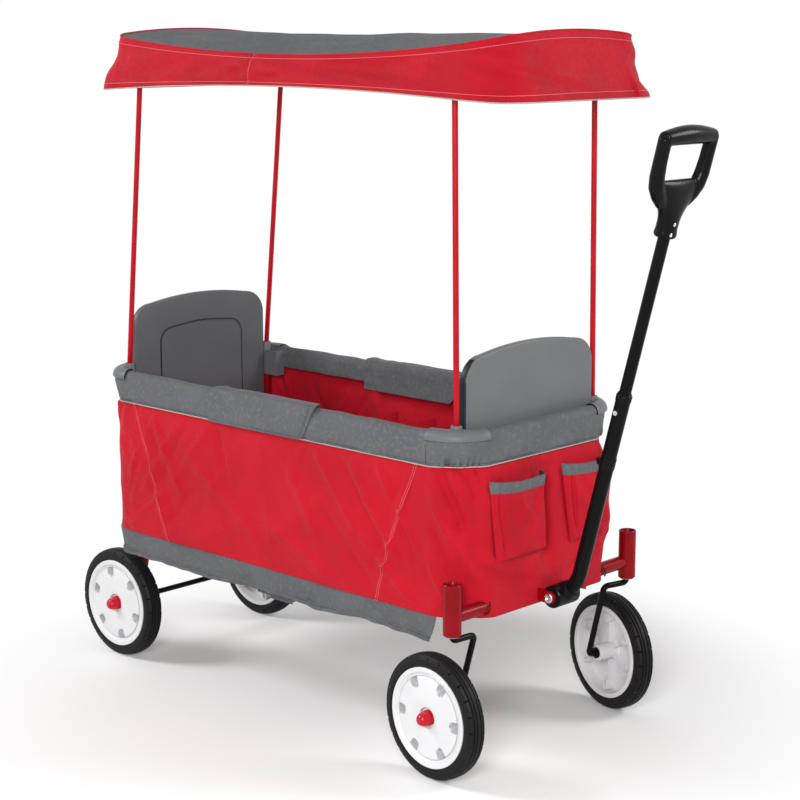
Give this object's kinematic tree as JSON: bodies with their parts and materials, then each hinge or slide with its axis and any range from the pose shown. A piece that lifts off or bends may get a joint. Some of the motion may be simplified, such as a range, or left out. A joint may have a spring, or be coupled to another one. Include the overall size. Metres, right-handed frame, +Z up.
{
  "type": "folding wagon",
  "caption": "Fabric pull wagon with a roof on poles, seat backs, swivelling front wheels, a telescoping handle and a frame that folds in the middle.",
  "frame": {"origin": "on the ground, under the middle of the whole wagon's bounding box", "axes": "+X towards the pull handle, +Y to the wagon's left, +Z up"},
  "size_m": [1.2374, 0.5123, 1.1374],
  "materials": {
    "red_paint": "gloss enamel",
    "red_fabric": "plain woven polyester",
    "grey_fabric": "plain woven polyester, padded",
    "grey_plastic": "satin moulded",
    "black_paint": "gloss enamel",
    "black_plastic": "satin moulded",
    "white_plastic": "satin moulded",
    "tyre_rubber": "moulded",
    "red_plastic": "gloss moulded",
    "bright_steel": "plated"
  },
  "bodies": {
    "rear_end": {"rear_frame": "red_paint", "rear_rim_band": "grey_fabric", "rear_fabric": "red_fabric", "rear_left_corner_cap": "grey_plastic", "rear_right_corner_cap": "grey_plastic", "rear_axle": "black_paint", "left_side_fabric": "red_fabric", "left_rim_band": "grey_fabric", "left_skirt": "grey_fabric", "right_side_fabric": "red_fabric", "right_rim_band": "grey_fabric", "right_skirt": "grey_fabric"},
    "floor_rear": {"rear_floor_frame": "red_paint", "rear_floor_board": "grey_fabric"},
    "frame_middle": {"floor_centre_beam": "red_paint", "left_centre_cover": "grey_fabric", "right_centre_cover": "grey_fabric"},
    "floor_front": {"front_floor_frame": "red_paint", "front_floor_board": "grey_fabric"},
    "front_end": {"front_frame": "red_paint", "front_rim_band": "grey_fabric", "front_fabric": "red_fabric", "front_left_corner_cap": "grey_plastic", "front_right_corner_cap": "grey_plastic", "front_left_pocket": "red_fabric", "front_right_pocket": "red_fabric", "handle_bolt": "bright_steel"},
    "left_rail_rear": {"left_rear_rail": "red_paint"},
    "left_rail_front": {"left_front_rail": "red_paint"},
    "right_rail_rear": {"right_rear_rail": "red_paint"},
    "right_rail_front": {"right_front_rail": "red_paint"},
    "rear_left_wheel": {"rear_left_tyre": "tyre_rubber", "rear_left_disc": "white_plastic", "rear_left_hub_cap": "red_plastic"},
    "rear_right_wheel": {"rear_right_tyre": "tyre_rubber", "rear_right_disc": "white_plastic", "rear_right_hub_cap": "red_plastic"},
    "front_left_wheel": {"front_left_tyre": "tyre_rubber", "front_left_disc": "white_plastic", "front_left_hub_cap": "red_plastic"},
    "front_right_wheel": {"front_right_tyre": "tyre_rubber", "front_right_disc": "white_plastic", "front_right_hub_cap": "red_plastic"},
    "left_caster": {"left_caster_crank": "black_paint"},
    "right_caster": {"right_caster_crank": "black_paint"},
    "rear_seat": {"rear_seat_back": "grey_plastic"},
    "front_seat": {"front_seat_back": "grey_plastic"},
    "canopy": {"canopy_cloth": "red_fabric", "rear_left_canopy_pole": "red_paint", "rear_right_canopy_pole": "red_paint"},
    "front_poles": {"front_left_canopy_pole": "red_paint", "front_right_canopy_pole": "red_paint"},
    "handle": {"handle_knuckle": "black_plastic", "handle_lower_tube": "black_paint", "handle_collar": "black_plastic", "handle_clip": "black_plastic"},
    "snap_button": {"handle_snap_button": "bright_steel"},
    "handle_top": {"handle_upper_tube": "black_paint", "handle_grip": "black_plastic"}
  },
  "joints": [
    {"name": "fold", "type": "hinge", "parent": "rear_end", "child": "floor_rear", "pos_m": [-0.44232, -0.00765, 0.2655], "axis": [0, -1, 0], "range_deg": [0, 80], "deforming": ["left_side_fabric", "left_rim_band", "left_skirt", "right_side_fabric", "right_rim_band", "right_skirt", "canopy_cloth"]},
    {"name": "fold_middle", "type": "hinge", "parent": "floor_rear", "child": "frame_middle", "pos_m": [-0.10932, -0.00765, 0.2655], "axis": [0, -1, 0], "range_deg": [-80, 0]},
    {"name": "fold_floor_front", "type": "hinge", "parent": "frame_middle", "child": "floor_front", "pos_m": [-0.07332, -0.00765, 0.2655], "axis": [0, -1, 0], "range_deg": [-80, 0]},
    {"name": "fold_front_end", "type": "hinge", "parent": "floor_front", "child": "front_end", "pos_m": [0.25968, -0.00765, 0.2655], "axis": [0, -1, 0], "range_deg": [0, 80]},
    {"name": "left_rail_fold", "type": "hinge", "parent": "rear_end", "child": "left_rail_rear", "pos_m": [-0.44232, 0.17885, 0.5295], "axis": [0, -1, 0], "range_deg": [0, 80]},
    {"name": "left_rail_front_fold", "type": "hinge", "parent": "frame_middle", "child": "left_rail_front", "pos_m": [-0.07332, 0.17885, 0.5295], "axis": [0, -1, 0], "range_deg": [-80, 0]},
    {"name": "right_rail_fold", "type": "hinge", "parent": "rear_end", "child": "right_rail_rear", "pos_m": [-0.44232, -0.19415, 0.5295], "axis": [0, -1, 0], "range_deg": [0, 80]},
    {"name": "right_rail_front_fold", "type": "hinge", "parent": "frame_middle", "child": "right_rail_front", "pos_m": [-0.07332, -0.19415, 0.5295], "axis": [0, -1, 0], "range_deg": [-80, 0]},
    {"name": "rear_seat_fold", "type": "hinge", "parent": "rear_end", "child": "rear_seat", "pos_m": [-0.48832, -0.00765, 0.29], "axis": [0, -1, 0], "range_deg": [-90, 0]},
    {"name": "front_seat_fold", "type": "hinge", "parent": "front_end", "child": "front_seat", "pos_m": [0.30568, -0.00765, 0.29], "axis": [0, 1, 0], "range_deg": [-90, 0]},
    {"name": "canopy_lift", "type": "slide", "parent": "rear_end", "child": "canopy", "axis": [0, 0, 1], "range_m": [0, 0.12]},
    {"name": "front_pole_lift", "type": "slide", "parent": "front_end", "child": "front_poles", "axis": [0, 0, 1], "range_m": [0, 0.12]},
    {"name": "left_caster_swivel", "type": "hinge", "parent": "front_end", "child": "left_caster", "pos_m": [0.34408, 0.20915, 0.2785], "axis": [0, 0, 1], "continuous": true},
    {"name": "front_left_wheel_spin", "type": "hinge", "parent": "left_caster", "child": "front_left_wheel", "pos_m": [0.30674, 0.21853, 0.1], "axis": [0.2436, 0.9699, 0], "continuous": true},
    {"name": "rear_left_wheel_spin", "type": "hinge", "parent": "rear_end", "child": "rear_left_wheel", "pos_m": [-0.51882, 0.16485, 0.1], "axis": [0, 1, 0], "continuous": true},
    {"name": "right_caster_swivel", "type": "hinge", "parent": "front_end", "child": "right_caster", "pos_m": [0.34408, -0.22445, 0.2785], "axis": [0, 0, 1], "continuous": true},
    {"name": "front_right_wheel_spin", "type": "hinge", "parent": "right_caster", "child": "front_right_wheel", "pos_m": [0.30569, -0.22157, 0.1], "axis": [0.075, 0.9972, 0], "continuous": true},
    {"name": "rear_right_wheel_spin", "type": "hinge", "parent": "rear_end", "child": "rear_right_wheel", "pos_m": [-0.51882, -0.18015, 0.1], "axis": [0, 1, 0], "continuous": true},
    {"name": "handle_swing", "type": "hinge", "parent": "front_end", "child": "handle", "pos_m": [0.38018, -0.00765, 0.264], "axis": [0, 1, 0], "range_deg": [-8, 88]},
    {"name": "handle_telescope", "type": "slide", "parent": "handle", "child": "handle_top", "axis": [0.2598, 0, 0.9657], "range_m": [-0.18, 0]},
    {"name": "button_press", "type": "slide", "parent": "handle", "child": "snap_button", "axis": [0, 1, 0], "range_m": [0, 0.003], "stiffness_N_per_m": 300}
  ],
  "couplings": [
    {"joint": "fold_middle", "follows": "fold", "ratio": -1},
    {"joint": "fold_floor_front", "follows": "fold", "ratio": -1},
    {"joint": "fold_front_end", "follows": "fold", "ratio": 1},
    {"joint": "left_rail_fold", "follows": "fold", "ratio": 1},
    {"joint": "left_rail_front_fold", "follows": "fold", "ratio": -1},
    {"joint": "right_rail_fold", "follows": "fold", "ratio": 1},
    {"joint": "right_rail_front_fold", "follows": "fold", "ratio": -1},
    {"joint": "front_pole_lift", "follows": "canopy_lift", "ratio": 1}
  ]
}
